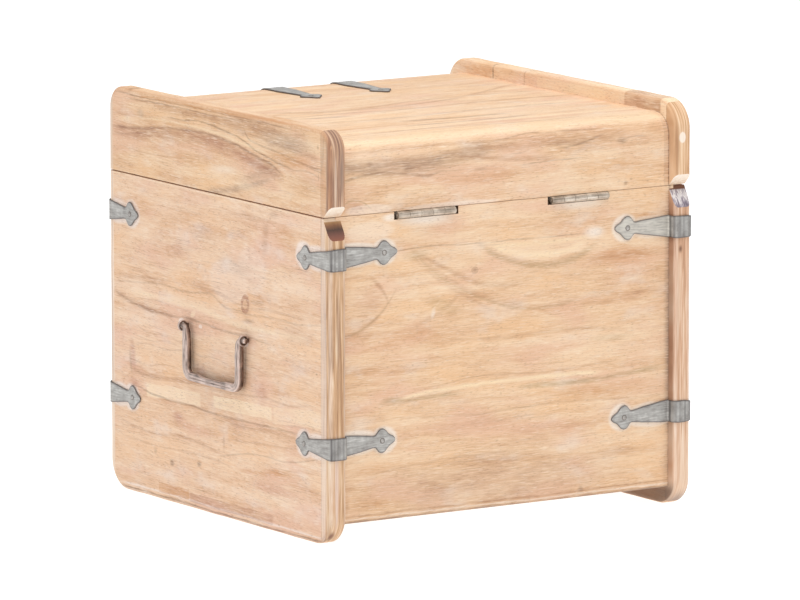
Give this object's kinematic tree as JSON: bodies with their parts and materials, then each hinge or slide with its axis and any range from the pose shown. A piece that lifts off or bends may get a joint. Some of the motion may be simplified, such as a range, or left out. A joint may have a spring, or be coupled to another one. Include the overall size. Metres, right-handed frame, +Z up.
{
  "type": "wooden storage chest",
  "caption": "Square-sided wooden storage chest with a hinged lid between raised side panels, iron corner straps and a bail handle on each side.",
  "frame": {"origin": "on the floor, under the middle of the chest", "axes": "+X towards the right side panel as seen from the front, -Y out of the front, +Y out of the hinged back, +Z up"},
  "size_m": [0.4234, 0.393, 0.385],
  "materials": {
    "wood": "bleached, lightly sanded, matt",
    "zinc": "galvanised, mottled and dull",
    "steel": "dull, slightly tarnished",
    "iron": "forged, dark brown, worn brighter on its edges"
  },
  "bodies": {
    "case": {"side_panel_right": "wood", "side_panel_left": "wood", "front_panel": "wood", "back_panel": "wood", "bottom_panel": "wood", "corner_strap_front_right_lower": "zinc", "corner_strap_rear_right_lower": "zinc", "corner_strap_front_left_lower": "zinc", "corner_strap_rear_left_lower": "zinc", "corner_strap_front_right_upper": "zinc", "corner_strap_rear_right_upper": "zinc", "corner_strap_front_left_upper": "zinc", "corner_strap_rear_left_upper": "zinc", "hinge_body_leaf_right": "steel", "hinge_body_leaf_left": "steel", "hinge_pin_right": "steel", "hinge_pin_left": "steel", "handle_eye_right_front": "iron", "handle_eye_right_rear": "iron", "handle_eye_left_front": "iron", "handle_eye_left_rear": "iron"},
    "lid": {"lid_top_panel": "wood", "lid_front_rail": "wood", "lid_back_rail": "wood", "lid_side_right": "wood", "lid_side_left": "wood", "lid_strap_right": "zinc", "lid_strap_left": "zinc", "hinge_lid_leaf_right": "steel", "hinge_lid_leaf_left": "steel"},
    "bail_right": {"bail_right": "iron"},
    "bail_left": {"bail_left": "iron"}
  },
  "joints": [
    {"name": "lid_hinge", "type": "hinge", "parent": "case", "child": "lid", "pos_m": [0, 0.185, 0.3007], "axis": [-1, 0, 0], "range_deg": [0, 105]},
    {"name": "bail_right_swing", "type": "hinge", "parent": "case", "child": "bail_right", "pos_m": [0.2062, 0.001, 0.174], "axis": [0, -1, 0], "range_deg": [0, 178]},
    {"name": "bail_left_swing", "type": "hinge", "parent": "case", "child": "bail_left", "pos_m": [-0.2062, 0.001, 0.174], "axis": [0, 1, 0], "range_deg": [0, 178]}
  ]
}
